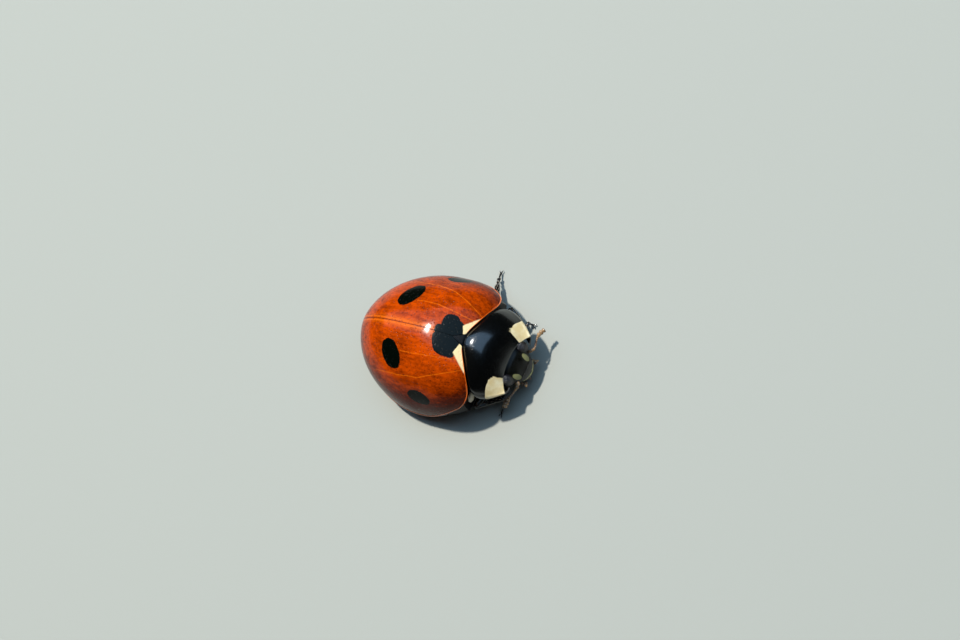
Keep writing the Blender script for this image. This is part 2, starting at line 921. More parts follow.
@dataclass(frozen=True)
class WingCaseFinish:
    """Glossy orange-red shell with fine pits, faint veins, black spots and two cream corners."""

    deep: Colour = (0.085, 0.007, 0.0001)
    bright: Colour = (0.59, 0.063, 0.0002)
    vein: Colour = (0.80, 0.15, 0.004)
    black: Colour = (0.0010, 0.0022, 0.0012)
    cream: Colour = (1.0, 0.77, 0.40)
    hand: Hand = Hand.LEFT
    low_shade: float = 0.05
    corner_outer: dict[Hand, float] = field(default_factory=lambda: {Hand.LEFT: 0.47, Hand.RIGHT: 0.59})
    corner_outer_ahead: float = 1.73
    corner_outer_slope: float = 0.85
    corner_inner: float = 0.60
    corner_inner_ahead: float = 1.705
    corner_inner_slope: float = 0.34
    corner_raggedness: float = 0.3
    outer_vein: float = 1.80
    outer_vein_middle: float = -0.25
    outer_vein_bend: float = 0.03
    outer_vein_shoulder: float = 0.1
    outer_vein_front_bend: float = 0.135
    inner_vein: float = 1.01
    inner_vein_bend: float = 0.06
    vein_drift: float = 0.09
    neck_front: float = 1.95
    neck_length: float = 0.62
    neck_half_width: float = 0.44
    neck_slope: float = 0.6
    spots: tuple[Spot, ...] = (
        Spot((2.34, 0.44), (0.10, 1.0), 0.48, 0.34),
        Spot((1.18, -0.72), (0.83, 0.55), 0.60, 0.40),
        Spot((1.46, -2.60), (0.80, 0.50), 0.40, 0.34),
    )
    # Each lobe's middle to the side and ahead, half width, half length and slant.
    lobes: tuple[tuple[float, float, float, float, float], ...] = (
        (0.40, 1.34, 0.38, 0.30, 0.0),
        (0.10, 1.20, 0.20, 0.34, 0.0),
        (-0.40, 1.33, 0.42, 0.41, -0.35),
    )

    def build(self) -> Material:
        """Builds the material for one side's wing case.

        Returns:
            The material.
        """
        wiring = Wiring(f"wing_case_orange_{self.hand.word}")
        position = wiring.position()
        signed_side, ahead, up = wiring.beetle_axes(position)
        side = signed_side * float(self.hand.value)
        clouds = wiring.noise(position, 0.8, 3.0)
        mottling = wiring.noise(position, 0.12, 4.0, 0.7)
        streaks = wiring.noise(wiring.stretched(position, (1.0, 0.28, 1.0)), 0.12, 4.0, 0.65)
        low = up.falling(1.0, 2.9) * self.low_shade
        tone = (clouds * 0.6 + mottling * 0.55 + streaks * 0.8 - 0.40 - low).rising(0.1, 0.9)
        colour = wiring.mix(tone, self.deep, self.bright)
        wander = wiring.noise(position, 0.45, 2.0) - 0.5
        fine_wander = wiring.noise(position, 0.09, 2.0) - 0.5
        veins = self._veins(side, ahead, wander)
        colour = wiring.mix(veins * (mottling * 1.2 - 0.1), colour, self.vein)
        off_middle = abs(signed_side) + fine_wander * 0.02
        colour = self._suture(wiring, colour, off_middle, streaks * ahead.rising(-3.2, -0.5))
        pits = wiring.cells(position, 0.11).falling(0.10, 0.34)
        colour = wiring.mix(pits * 0.5, colour, self.deep)
        ragged = wander * 0.12 + fine_wander * 0.14
        black = self._black(wiring, position, signed_side, ahead, ragged)
        colour = wiring.mix(black, colour, self.black)
        colour = wiring.mix(self._corner(side, ahead, ragged), colour, self.cream)
        normal = wiring.bump(pits, -0.007)
        normal = wiring.bump(wiring.noise(position, 0.5, 2.0), 0.012, normal)
        return wiring.finish(
            Base_Color=colour,
            Roughness=0.14 + mottling * 0.14,
            Normal=normal,
            Specular_IOR_Level=0.07,
            Coat_Weight=up.rising(1.9, 3.1) * 0.18,
            Coat_Roughness=0.09,
        )

    def _suture(self, wiring: Wiring, colour: Value, off_middle: Value, streaks: Value) -> Value:
        """Adds the fine dark joint on the middle line between two paler edges.

        Args:
            wiring: the material's nodes.
            colour: the colour so far.
            off_middle: the distance from the middle line.
            streaks: how much the paler edges glow.

        Returns:
            The colour with the joint.
        """
        glow = off_middle.falling(0.04, 0.28) * (streaks * 0.9 + 0.05)
        colour = wiring.mix(glow, colour, self.vein)
        edge = abs(off_middle - 0.075).falling(0.010, 0.040)
        colour = wiring.mix(edge * 0.45, colour, self.vein)
        joint = off_middle.falling(0.012, 0.034)
        return wiring.mix(joint * 0.6, colour, self.deep)

    def _veins(self, side: Value, ahead: Value, wander: Value) -> Value:
        """The mask of the two faint veins that run back along the wing case.

        Args:
            side: the distance from the middle line.
            ahead: how far ahead the place lies.
            wander: noise that bends the veins.

        Returns:
            The mask.
        """
        drifted = side + wander * self.vein_drift
        off = ahead - self.outer_vein_middle
        past = (ahead - self.outer_vein_shoulder).most(0.0)
        bent = off * off * self.outer_vein_bend
        outer = abs(drifted - (self.outer_vein - bent - past * past * self.outer_vein_front_bend))
        inner = abs(drifted - (self.inner_vein - ahead * ahead * self.inner_vein_bend))
        outer_line = outer.falling(0.004, 0.030) * ahead.rising(-1.9, -0.9)
        inner_line = inner.falling(0.004, 0.026) * ahead.rising(-0.6, -0.1)
        return outer_line.most(inner_line)

    def _corner(self, side: Value, ahead: Value, ragged: Value) -> Value:
        """The mask of the cream corner beside the scutellum.

        Args:
            side: the distance from the middle line.
            ahead: how far ahead the place lies.
            ragged: noise that roughens the edge.

        Returns:
            The mask.
        """
        rough = ragged * self.corner_raggedness
        off_outer = (side - self.corner_outer[self.hand]) * self.corner_outer_slope
        outer = ahead - self.corner_outer_ahead - off_outer + rough
        off_inner = (side - self.corner_inner) * self.corner_inner_slope
        inner = ahead - self.corner_inner_ahead + off_inner + rough
        return outer.rising(-0.03, 0.04) * inner.rising(-0.012, 0.012)

    def _black(
        self, wiring: Wiring, position: Value, signed_side: Value, ahead: Value, ragged: Value
    ) -> Value:
        """The mask of all the black marks.

        Args:
            wiring: the material's nodes.
            position: the place on the piece.
            signed_side: the distance to the left of the middle line.
            ahead: how far ahead the place lies.
            ragged: noise that roughens the edges.

        Returns:
            The mask.
        """
        mark = self._shared_spot(signed_side, ahead)
        for spot in self.spots:
            mark = mark.least(spot.field(wiring, position, self.hand))
        return (mark + ragged).falling(0.975, 1.025)

    def _shared_spot(self, side: Value, ahead: Value) -> Value:
        """The field of the two-lobed spot on the suture, which narrows towards the scutellum.

        Args:
            side: the distance to the left of the middle line.
            ahead: how far ahead the place lies.

        Returns:
            The field, which is 1 on the spot's edge.
        """
        behind = self.neck_front - ahead
        mark = (abs(side) / (behind * self.neck_slope + self.neck_half_width)).most(behind / self.neck_length)
        for middle_side, middle_ahead, half_width, half_length, slant in self.lobes:
            off_side = side - middle_side
            across = abs(off_side / half_width)
            along = abs((ahead - middle_ahead - off_side * slant) / half_length)
            mark = mark.least((across**3.0 + along**3.0) ** (1 / 3.0))
        return mark


@dataclass(frozen=True)
class BeadFinish:
    """The lighter orange of the thin edge of the wing cases."""

    deep: Colour = (0.55, 0.060, 0.002)
    bright: Colour = (0.95, 0.20, 0.012)

    def build(self) -> Material:
        """Builds the material.

        Returns:
            The material.
        """
        wiring = Wiring("wing_case_edge")
        position = wiring.position()
        clouds = wiring.noise(position, 0.35, 3.0)
        grain = wiring.noise(position, 0.05, 2.0)
        return wiring.finish(
            Base_Color=wiring.mix(clouds, self.deep, self.bright),
            Roughness=0.24 + grain * 0.12,
            Normal=wiring.bump(grain, 0.004),
            Coat_Weight=0.6,
            Coat_Roughness=0.08,
        )


@dataclass(frozen=True)
class ShieldFinish:
    """Polished black shell with fine pits and a cream patch on each front corner."""

    black: Colour = (0.0018, 0.0020, 0.0020)
    cream: Colour = (0.86, 0.66, 0.32)
    pale: Colour = (0.98, 0.84, 0.54)
    patch_side: float = 0.580
    patch_side_left: float = 0.055
    patch_back: float = 0.555
    patch_back_left: float = 0.065
    patch_slant: float = 0.73
    patch_slant_left: float = 0.60
    patch_pivot: float = 0.83

    def build(self) -> Material:
        """Builds the material, which reads the pronotum's own shares.

        Returns:
            The material.
        """
        wiring = Wiring("shield_black")
        position = wiring.position()
        share_across, along = wiring.shares()
        across = abs((share_across - 0.5) * (2 / Pronotum.TOP_SHARE))
        on_left = share_across.rising(0.49, 0.51)
        wander = (wiring.noise(position, 0.28, 2.0) - 0.5) * 0.75
        fine = (wiring.noise(position, 0.06, 2.0) - 0.5) * 0.25
        inward = (across - self.patch_side - on_left * self.patch_side_left) / 0.11
        slant = self.patch_slant - on_left * self.patch_slant_left
        forward = along - self.patch_back - on_left * self.patch_back_left
        forward = forward + slant * (across - self.patch_pivot)
        corner = inward.most(0.0) * (forward / 0.12).most(0.0) + wander + fine * 1.6
        patch = corner.rising(0.14, 0.28) * inward.rising(0.0, 0.1) * forward.rising(0.0, 0.02)
        patch = patch * across.falling(1.00, 1.03) * along.falling(1.0, 1.02)
        clouds = wiring.noise(position, 0.25, 3.0)
        cream = wiring.mix(clouds.rising(0.3, 0.75), self.cream, self.pale)
        pits = wiring.cells(position, 0.055).falling(0.06, 0.30)
        return wiring.finish(
            Base_Color=wiring.mix(patch, self.black, cream),
            Roughness=0.17 + clouds * 0.07 + patch * 0.16,
            Normal=wiring.bump(pits, -0.0022),
            Coat_Weight=(1.0 - patch) * 0.75,
            Coat_Roughness=0.11,
        )


@dataclass(frozen=True)
class HeadFinish:
    """Black, finely pitted shell with two pale spots on the forehead."""

    black: Colour = (0.0022, 0.0022, 0.0012)
    brown: Colour = (0.013, 0.011, 0.004)
    pale: Colour = (0.30, 0.28, 0.115)
    spot_side: float = 0.395
    spot_down: float = 0.985
    spot_half_width: float = 0.092
    spot_half_length: float = 0.20

    def build(self) -> Material:
        """Builds the material.

        Returns:
            The material.
        """
        wiring = Wiring("head_black")
        position = wiring.position()
        origin = FACE.point(0, 0, 0)
        across = wiring.measure(position, origin, FACE.point(1, 0, 0) - origin)
        down = wiring.measure(position, origin, FACE.point(0, 1, 0) - origin)
        out = wiring.measure(position, origin, FACE.point(0, 0, 1) - origin)
        ragged = (wiring.noise(position, 0.10, 2.0) - 0.5) * 0.25
        spread = (abs(across) - self.spot_side) / self.spot_half_width
        length = (down - self.spot_down) / self.spot_half_length
        lean = spread * 0.9 + length * 0.30
        spot = ((lean * lean + length * length).root() + ragged).falling(0.90, 1.08) * out.rising(3.3, 3.45)
        clouds = wiring.noise(position, 0.2, 3.0)
        skin = wiring.mix(clouds.rising(0.45, 0.9) * 0.5, self.black, self.brown)
        pits = wiring.cells(position, 0.045).falling(0.08, 0.34)
        return wiring.finish(
            Base_Color=wiring.mix(spot, skin, self.pale),
            Roughness=0.22 + clouds * 0.16,
            Normal=wiring.bump(pits, -0.005),
            Specular_IOR_Level=0.30,
        )


@dataclass(frozen=True)
class MouthEdgeFinish:
    """Black plate whose front edge is pale."""

    black: Colour = (0.006, 0.006, 0.005)
    pale: Colour = (0.52, 0.49, 0.20)

    def build(self) -> Material:
        """Builds the material.

        Returns:
            The material.
        """
        wiring = Wiring("mouth_edge_pale")
        position = wiring.position()
        _, along = wiring.shares()
        clouds = wiring.noise(position, 0.12, 2.0)
        edge = (along + (clouds - 0.5) * 0.30).rising(0.83, 0.90)
        return wiring.finish(
            Base_Color=wiring.mix(edge, self.black, self.pale),
            Roughness=0.3 + clouds * 0.15,
            Normal=wiring.bump(clouds, 0.002),
            Coat_Weight=0.3,
            Coat_Roughness=0.12,
        )


@dataclass(frozen=True)
class SkinFinish:
    """A shell of one mottled tone with fine pits, for the pieces that carry no mark."""

    name: str
    dark: Colour
    light: Colour
    roughness: float = 0.35
    pit_size: float = 0.05
    pit_depth: float = 0.003
    coat: float = 0.2
    specular: float = 0.5

    def build(self) -> Material:
        """Builds the material.

        Returns:
            The material.
        """
        wiring = Wiring(self.name)
        position = wiring.position()
        clouds = wiring.noise(position, 0.22, 3.0, 0.6)
        grain = wiring.noise(position, 0.03, 2.0)
        pits = wiring.cells(position, self.pit_size).falling(0.08, 0.34)
        colour = wiring.mix(clouds.rising(0.25, 0.8), self.dark, self.light)
        return wiring.finish(
            Base_Color=wiring.mix(pits * 0.4, colour, self.dark),
            Roughness=self.roughness + grain * 0.15,
            Normal=wiring.bump(grain, self.pit_depth * 0.5, wiring.bump(pits, -self.pit_depth)),
            Coat_Weight=self.coat,
            Coat_Roughness=0.07,
            Specular_IOR_Level=self.specular,
        )


@dataclass(frozen=True)
class EyeFinish:
    """Black eye of many tiny facets."""

    dark: Colour = (0.0016, 0.0014, 0.0018)
    light: Colour = (0.016, 0.011, 0.018)
    facet: float = 0.026

    def build(self) -> Material:
        """Builds the material.

        Returns:
            The material.
        """
        wiring = Wiring("eye_black")
        position = wiring.position()
        facets = wiring.cells(position, self.facet, 0.25)
        colour = wiring.mix(facets.rising(0.25, 0.6), self.light, self.dark)
        return wiring.finish(
            Base_Color=colour,
            Roughness=0.10 + facets * 0.15,
            Normal=wiring.bump(facets * facets, -0.020),
            Specular_IOR_Level=0.8,
        )


BODY_SKIN = SkinFinish(
    name="body_black", dark=(0.002, 0.0019, 0.0017), light=(0.008, 0.006, 0.005),
    roughness=0.30, pit_size=0.06, pit_depth=0.004, coat=0.0, specular=0.22,
)
LEG_SKIN = SkinFinish(
    name="leg_black", dark=(0.003, 0.0026, 0.0022), light=(0.012, 0.008, 0.005),
    roughness=0.10, pit_size=0.045, pit_depth=0.014, coat=0.8, specular=0.6,
)
HAIR_SKIN = SkinFinish(
    name="hair_pale", dark=(0.30, 0.24, 0.16), light=(0.80, 0.70, 0.55), roughness=0.20, pit_depth=0.001
)
FEELER_SKIN = SkinFinish(
    name="feeler_brown", dark=(0.13, 0.058, 0.028), light=(0.50, 0.31, 0.15),
    roughness=0.12, pit_size=0.03, pit_depth=0.004, coat=0.4,
)
PALE_SKIN = SkinFinish(
    name="pale_plate", dark=(0.60, 0.50, 0.33), light=(0.85, 0.78, 0.62), roughness=0.40, pit_depth=0.002
)
JAW_SKIN = SkinFinish(
    name="jaw_brown", dark=(0.030, 0.012, 0.006), light=(0.16, 0.070, 0.030),
    roughness=0.28, pit_size=0.03, pit_depth=0.001, coat=0.4,
)


# ---- Sub-assemblies ----


def eased(at: Array, stations: Sequence[float], values: Sequence[float]) -> Array:
    """A smooth curve through a few values.

    Args:
        at: where to read the curve.
        stations: where the values lie, in rising order.
        values: the values.

    Returns:
        The curve's values.
    """
    places = np.asarray(stations, float)
    heights = np.asarray(values, float)
    slopes = np.gradient(heights, places)
    index = np.clip(np.searchsorted(places, at, side="right") - 1, 0, len(places) - 2)
    gap = places[index + 1] - places[index]
    share = np.clip((at - places[index]) / gap, 0, 1)
    rise = share * share * (3 - 2 * share)
    start = share * (1 - share) ** 2 * gap * slopes[index]
    end = share**2 * (share - 1) * gap * slopes[index + 1]
    return heights[index] * (1 - rise) + heights[index + 1] * rise + start + end


@dataclass
class WingCases:
    """The two wing cases, the bead along their edge and the strip that is folded in under it."""

    gap: float = 0.05
    seam: float = 0.006
    shoulder_start: float = 1.60
    shoulder_curve: float = 1.18
    corner_turn: float = 0.022
    corner_fade: float = 0.6
    corner_steps: int = 3
    halvings: int = 40
    notch_half_width: float = 0.21
    notch_back: float = 1.54
    notch_slope: float = 1.6
    columns: int = 220
    rows: int = 92
    wall: float = 0.07
    edge_round: float = 0.014
    edge_end: float = 0.955
    bead_radius: float = 0.045
    bead_overlap: float = 0.55
    bead_lift: float = 0.2
    bead_front_fade: float = 0.28
    bead_front_curve: float = 0.6
    bead_tail_fade: float = 0.01
    bead_thinnest: float = 0.02
    bead_grid: tuple[int, int] = (200, 12)
    strip_end: float = 0.86
    strip_front_width: float = 0.42
    strip_rear_width: float = 0.14
    strip_curve: float = 0.7
    strip_front_fade: float = 0.08
    strip_front_least: float = 0.02
    strip_tail_fade: float = 0.03
    strip_tail_least: float = 0.1
    strip_inset: float = 0.02
    strip_rise: float = 0.12
    strip_wall: float = 0.035
    strip_grid: tuple[int, int] = (120, 8)
    low_shades: dict[Hand, float] = field(default_factory=lambda: {Hand.LEFT: 0.35, Hand.RIGHT: 0.65})

    def front(self, side: Array) -> Array:
        """How far ahead a wing case reaches, with the notch for the scutellum.

        Args:
            side: the distance from the middle line.

        Returns:
            How far ahead the front edge lies.
        """
        past = np.maximum(side - self.shoulder_start, 0.0)
        edge = SHIELD.back(side) - self.gap - self.shoulder_curve * past**2
        notch = self.notch_back + self.notch_slope * side
        return np.where(side < self.notch_half_width, np.minimum(edge, notch), edge)

    def reach(self, turn: Array) -> Array:
        """The share of the dome's foot at which the wing case ends, with a rounded corner at the shoulder.

        Args:
            turn: directions about the middle, in radians.

        Returns:
            The shares.
        """
        power = DOME.power(turn)
        spread = self.corner_turn * np.clip((math.pi / 2 - turn) / self.corner_fade, 0, 1)
        steps = range(-self.corner_steps, self.corner_steps + 1)
        reaches = [self.sharp_reach(turn + step * spread) for step in steps]
        bends = [np.arcsin(np.clip(reach, 0, 1) ** (power / 2)) for reach in reaches]
        return np.sin(np.mean(bends, axis=0)) ** (2 / power)

    def sharp_reach(self, turn: Array) -> Array:
        """The share of the dome's foot at which the wing case would end with a sharp corner.

        Args:
            turn: directions about the middle, in radians.

        Returns:
            The shares.
        """
        side, ahead = DOME.outline(turn)
        low, high = np.zeros_like(turn), np.ones_like(turn)
        for _ in range(self.halvings):
            middle = (low + high) / 2
            inside = ahead * middle < self.front(side * middle)
            low, high = np.where(inside, middle, low), np.where(inside, high, middle)
        return np.where(ahead < self.front(side), 1.0, low)

    def shell(self, across: Array, along: Array) -> Places:
        """The outer face of the left wing case, from the top of the dome to its edge.

        Args:
            across: shares from the tail round to the front.
            along: shares from the top down to the edge.

        Returns:
            The places.
        """
        turn = math.pi * (across - 0.5)
        power = DOME.power(turn)
        bend = np.arcsin(np.clip(self.reach(turn), 0, 1) ** (power / 2)) * along
        side, ahead, up = DOME.at_share(turn, np.sin(bend) ** (2 / power))
        return side + self.seam / 2, ahead, up

    def edge(self, across: Array) -> tuple[Places, Array, Array]:
        """The outer edge from the tail to past the shoulder, with its outward direction.

        Args:
            across: shares from the tail to past the shoulder.

        Returns:
            The places, and the outward direction to the side and ahead.
        """
        turn = math.pi * (across * self.edge_end - 0.5)
        places = DOME.at_share(turn, self.reach(turn))
        size = np.hypot(places[0], places[1])
        return places, places[0] / size, places[1] / size

    def bead(self, across: Array, along: Array) -> Places:
        """A thin round bead along the edge, which fades past the shoulder.

        Args:
            across: shares from the tail to past the shoulder.
            along: shares round the bead.

        Returns:
            The places.
        """
        (side, ahead, up), out_side, out_ahead = self.edge(across)
        front_fade = np.clip((1.0 - across) / self.bead_front_fade, 0, 1) ** self.bead_front_curve
        tail_fade = np.clip(across / self.bead_tail_fade, self.bead_thinnest, 1)
        radius = self.bead_radius * front_fade * tail_fade
        angle = 2 * math.pi * along
        out = radius * (np.cos(angle) - self.bead_overlap)
        lift = radius * (np.sin(angle) + self.bead_lift)
        return side + out * out_side + self.seam / 2, ahead + out * out_ahead, up + lift

    def strip(self, across: Array, along: Array) -> Places:
        """The strip folded in under the edge, broad at the shoulder and narrow at the tail.

        Args:
            across: shares from the tail to the shoulder.
            along: shares from the edge inwards.

        Returns:
            The places.
        """
        (side, ahead, up), out_side, out_ahead = self.edge(across * self.strip_end)
        widening = self.strip_front_width - self.strip_rear_width
        width = self.strip_rear_width + widening * across**self.strip_curve
        width = width * np.clip((1.0 - across) / self.strip_front_fade, self.strip_front_least, 1)
        width = width * np.clip(across / self.strip_tail_fade, self.strip_tail_least, 1)
        inward = self.strip_inset + width * along
        rise = self.strip_inset + self.strip_rise * along**2 * width / self.strip_front_width
        return side - inward * out_side + self.seam / 2, ahead - inward * out_ahead, up + rise

    def build(self) -> None:
        """Builds and dresses all the pieces of both sides."""
        inside = STANCE.at(0.8, 0.0, 1.0)
        shell = draped("wing_case_left", self.columns, self.rows, self.shell)
        merge_points(shell, WELD)
        face_away(shell, inside)
        apply_modifier(shell, "SOLIDIFY", thickness=self.wall, offset=-1.0, use_even_offset=True)
        round_edges(shell, self.edge_round, angle=55)
        bead = draped("wing_case_bead_left", *self.bead_grid, self.bead)
        merge_points(bead, WELD)
        strip = draped("wing_case_fold_left", *self.strip_grid, self.strip)
        face_away(strip, STANCE.at(0.8, 0.0, 2.5))
        apply_modifier(strip, "SOLIDIFY", thickness=self.strip_wall, offset=-1.0)
        edge_finish = BeadFinish().build()
        for piece, word in ((shell, "wing_case"), (bead, "wing_case_bead"), (strip, "wing_case_fold")):
            other = mirrored(piece, f"{word}_right")
            for hand, each in ((Hand.LEFT, piece), (Hand.RIGHT, other)):
                if piece is shell:
                    finish = WingCaseFinish(hand=hand, low_shade=self.low_shades[hand])
                    dress(each, finish.build(), [f"elytron_{hand.word}"], angle=35)
                else:
                    dress(each, edge_finish, angle=35)


@dataclass
class Scutellum:
    """The small triangle between the bases of the wing cases."""

    front: float = 1.90
    length: float = 0.34
    half_width: float = 0.185
    side_curve: float = 0.9
    lift: float = 0.004
    wall: float = 0.08
    grid: tuple[int, int] = (20, 24)

    def surface(self, across: Array, along: Array) -> Places:
        """Its face, gently crowned.

        Args:
            across: shares from side to side.
            along: shares from the front to the point behind.

        Returns:
            The places.
        """
        side = (across - 0.5) * 2 * self.half_width * (1 - along) ** self.side_curve
        ahead = self.front - self.length * along
        crown = self.lift * (1 - (2 * across - 1) ** 2) * (1 - along)
        return side, ahead, DOME.height(side, ahead) + crown

    def build(self, material: Material) -> None:
        """Builds and dresses the plate.

        Args:
            material: the finish of the plate.
        """
        plate = draped("scutellum_plate", *self.grid, self.surface)
        merge_points(plate, WELD)
        face_away(plate, STANCE.at(0, 1.6, 0))
        apply_modifier(plate, "SOLIDIFY", thickness=self.wall, offset=-1.0)
        dress(plate, material, ["scutellum"])


@dataclass
class Pronotum:
    """The shield over the first part of the thorax, with its sides rolled in underneath."""

    TOP_SHARE = 0.84
    columns: int = 170
    rows: int = 64
    wall: float = 0.07
    hind_depth: float = 0.42
    front_depth: float = 0.20
    hind_tuck: float = 0.50
    front_tuck: float = 0.30
    bead: float = 0.018
    bead_place: float = 0.985
    bead_width: float = 0.018
    bead_overhang: float = 0.6
    edge_round: float = 0.02

    def surface(self, across: Array, along: Array) -> Places:
        """The outer face, from one tucked-in edge over the top to the other.

        Args:
            across: shares from the right edge to the left.
            along: shares from the hind edge to the front.

        Returns:
            The places.
        """
        spread = (across - 0.5) * (2 / self.TOP_SHARE)
        top = np.clip(spread, -1, 1)
        side, ahead, up = SHIELD.at(top, along)
        rolled = np.clip((np.abs(spread) - 1) / (1 / self.TOP_SHARE - 1), 0, 1) * math.pi / 2
        depth = self.hind_depth + (self.front_depth - self.hind_depth) * along
        tuck = self.hind_tuck + (self.front_tuck - self.hind_tuck) * along
        margin = self.bead * np.exp(-(((np.abs(spread) - self.bead_place) / self.bead_width) ** 2))
        side = side - np.sign(top) * tuck * (1 - np.cos(rolled)) + np.sign(top) * margin * self.bead_overhang
        return side, ahead, up - depth * np.sin(rolled) + margin

    def build(self) -> None:
        """Builds and dresses the shield."""
        shield = draped("pronotum_shield", self.columns, self.rows, self.surface)
        face_away(shield, STANCE.at(0, 2.6, 1.0))
        apply_modifier(shield, "SOLIDIFY", thickness=self.wall, offset=-1.0)
        round_edges(shield, self.edge_round, angle=60)
        dress(shield, ShieldFinish().build(), ["pronotum"], angle=35)


@dataclass
class Head:
    """The head capsule, its eyes, the shield over the mouth, the lip and the jaws."""

    downs: tuple[float, ...] = (0.28, 0.36, 0.52, 0.75, 0.98, 1.17, 1.34, 1.46)
    half_widths: tuple[float, ...] = (0.42, 0.62, 0.78, 0.83, 0.76, 0.62, 0.50, 0.41)
    backs: tuple[float, ...] = (3.05, 2.98, 2.95, 2.95, 2.98, 3.04, 3.12, 3.20)
    fronts: tuple[float, ...] = (3.52, 3.62, 3.70, 3.74, 3.74, 3.70, 3.66, 3.60)
    squareness: float = 2.3
    end_share: float = 0.08
    crown_rise: float = 0.06
    mouth_drop: float = 0.03
    seam_depth: float = 0.014
    seam_down: float = 1.20
    seam_arch: float = 0.3
    seam_width: float = 0.018
    hollow_depth: float = 0.03
    hollow_down: float = 0.95
    hollow_half_width: float = 0.22
    hollow_half_length: float = 0.25
    clypeus_width: float = 0.84
    clypeus_edge: float = 1.50
    clypeus_arch: float = 0.95
    clypeus_lift: float = 0.018
    clypeus_tilt: float = 0.02
    clypeus_hug: float = 0.92
    lip_width: float = 0.62
    lip_narrowing: float = 0.26
    lip_root: float = 1.42
    lip_length: float = 0.20
    lip_arch: float = 0.30
    lip_out: float = 3.59
    lip_bow: float = 0.45
    lip_droop: float = 0.14
    capsule_grid: tuple[int, int] = (150, 90)
    plate_grid: tuple[int, int] = (40, 16)
    plate_wall: float = 0.035
    plate_round: float = 0.01
    jaw_root: Triple = (0.27, 1.38, 3.40)
    jaw_tip: Triple = (0.10, 1.66, 3.40)
    jaw_rings: tuple[Ring, ...] = (
        Ring(0.0, 0.10, 0.07),
        Ring(0.25, 0.11, 0.08, 0.01),
        Ring(0.55, 0.085, 0.065, 0.0),
        Ring(0.85, 0.045, 0.04, -0.05),
        Ring(1.0, 0.012, 0.012, -0.09),
    )
    eye_place: Triple = (0.67, 3.39, 1.28)
    eye_radii: Triple = (0.23, 0.27, 0.30)

    def front(self, side: Array, down: Array) -> Array:
        """How far out the face lies at each place across and down it.

        Args:
            side: how far to the side each place lies.
            down: how far down the face.

        Returns:
            How far out the face lies.
        """
        half_width = eased(down, self.downs, self.half_widths)
        back = eased(down, self.downs, self.backs)
        front = eased(down, self.downs, self.fronts)
        share = np.clip(1 - np.abs(side / half_width) ** self.squareness, 0, 1) ** (1 / self.squareness)
        return (front + back) / 2 + (front - back) / 2 * share

    def capsule(self, across: Array, along: Array) -> Places:
        """The capsule, from its crown down to the mouth, closed at both ends.

        Args:
            across: shares round the head.
            along: shares from the crown to the mouth.

        Returns:
            The places.
        """
        turn = 2 * math.pi * across
        middle = np.clip((along - self.end_share) / (1 - 2 * self.end_share), 0, 1)
        down = self.downs[0] + (self.downs[-1] - self.downs[0]) * middle
        half_width = eased(down, self.downs, self.half_widths)
        back = eased(down, self.downs, self.backs)
        front = eased(down, self.downs, self.fronts)
        end = np.clip(np.minimum(along, 1 - along) / self.end_share, 0, 1)
        closing = np.sqrt(1 - (1 - end) ** 2)
        power = 2 / self.squareness
        side = np.sign(np.cos(turn)) * np.abs(np.cos(turn)) ** power * half_width * closing
        out = np.sign(np.sin(turn)) * np.abs(np.sin(turn)) ** power * (front - back) / 2 * closing
        facing = np.clip(np.sin(turn), 0, 1)
        off_seam = (down - self.seam_down - self.seam_arch * side**2) / self.seam_width
        seam = self.seam_depth * np.exp(-(off_seam**2)) * facing
        off_side = side / self.hollow_half_width
        off_down = (down - self.hollow_down) / self.hollow_half_length
        hollow = self.hollow_depth * np.exp(-(off_side**2) - off_down**2) * facing
        down = down + (end - 1) * np.where(along < 0.5, self.crown_rise, -self.mouth_drop)
        return FACE.at(side, down, (front + back) / 2 + out - seam - hollow)

    def mouth_shield(self, across: Array, along: Array) -> Places:
        """The clypeus, a thin plate over the mouth with an arched front edge.

        Args:
            across: shares from side to side.
            along: shares from its root to its edge.

        Returns:
            The places.
        """
        side = (across - 0.5) * self.clypeus_width
        arch = self.clypeus_edge - self.clypeus_arch * side**2
        down = self.seam_down + (arch - self.seam_down) * along
        face = self.front(side * self.clypeus_hug, np.minimum(down, self.downs[-1] - 0.01))
        return FACE.at(side, down, face + self.clypeus_lift + self.clypeus_tilt * along)

    def lip(self, across: Array, along: Array) -> Places:
        """The upper lip, a small rounded plate under the clypeus.

        Args:
            across: shares from side to side.
            along: shares from its root to its edge.

        Returns:
            The places.
        """
        side = (across - 0.5) * (self.lip_width - self.lip_narrowing * along**2)
        down = self.lip_root + self.lip_length * along - self.lip_arch * side**2 * along
        return FACE.at(side, down, self.lip_out - self.lip_bow * side**2 - self.lip_droop * along**2)

    def build(self) -> None:
        """Builds and dresses all the pieces of the head."""
        finish = HeadFinish().build()
        capsule = draped("head_capsule", *self.capsule_grid, self.capsule)
        merge_points(capsule, WELD)
        dress(capsule, finish, ["head"], angle=60)
        for name, surface, material in (
            ("mouth_shield", self.mouth_shield, MouthEdgeFinish().build()),
            ("upper_lip", self.lip, JAW_SKIN.build()),
        ):
            plate = draped(name, *self.plate_grid, surface)
            face_away(plate, FACE.point(0, 1.3, 3.0))
            apply_modifier(plate, "SOLIDIFY", thickness=self.plate_wall, offset=-1.0)
            round_edges(plate, self.plate_round, angle=50)
            dress(plate, material, ["mouthparts"] if name == "upper_lip" else ())
        self._jaws()
        self._eyes()

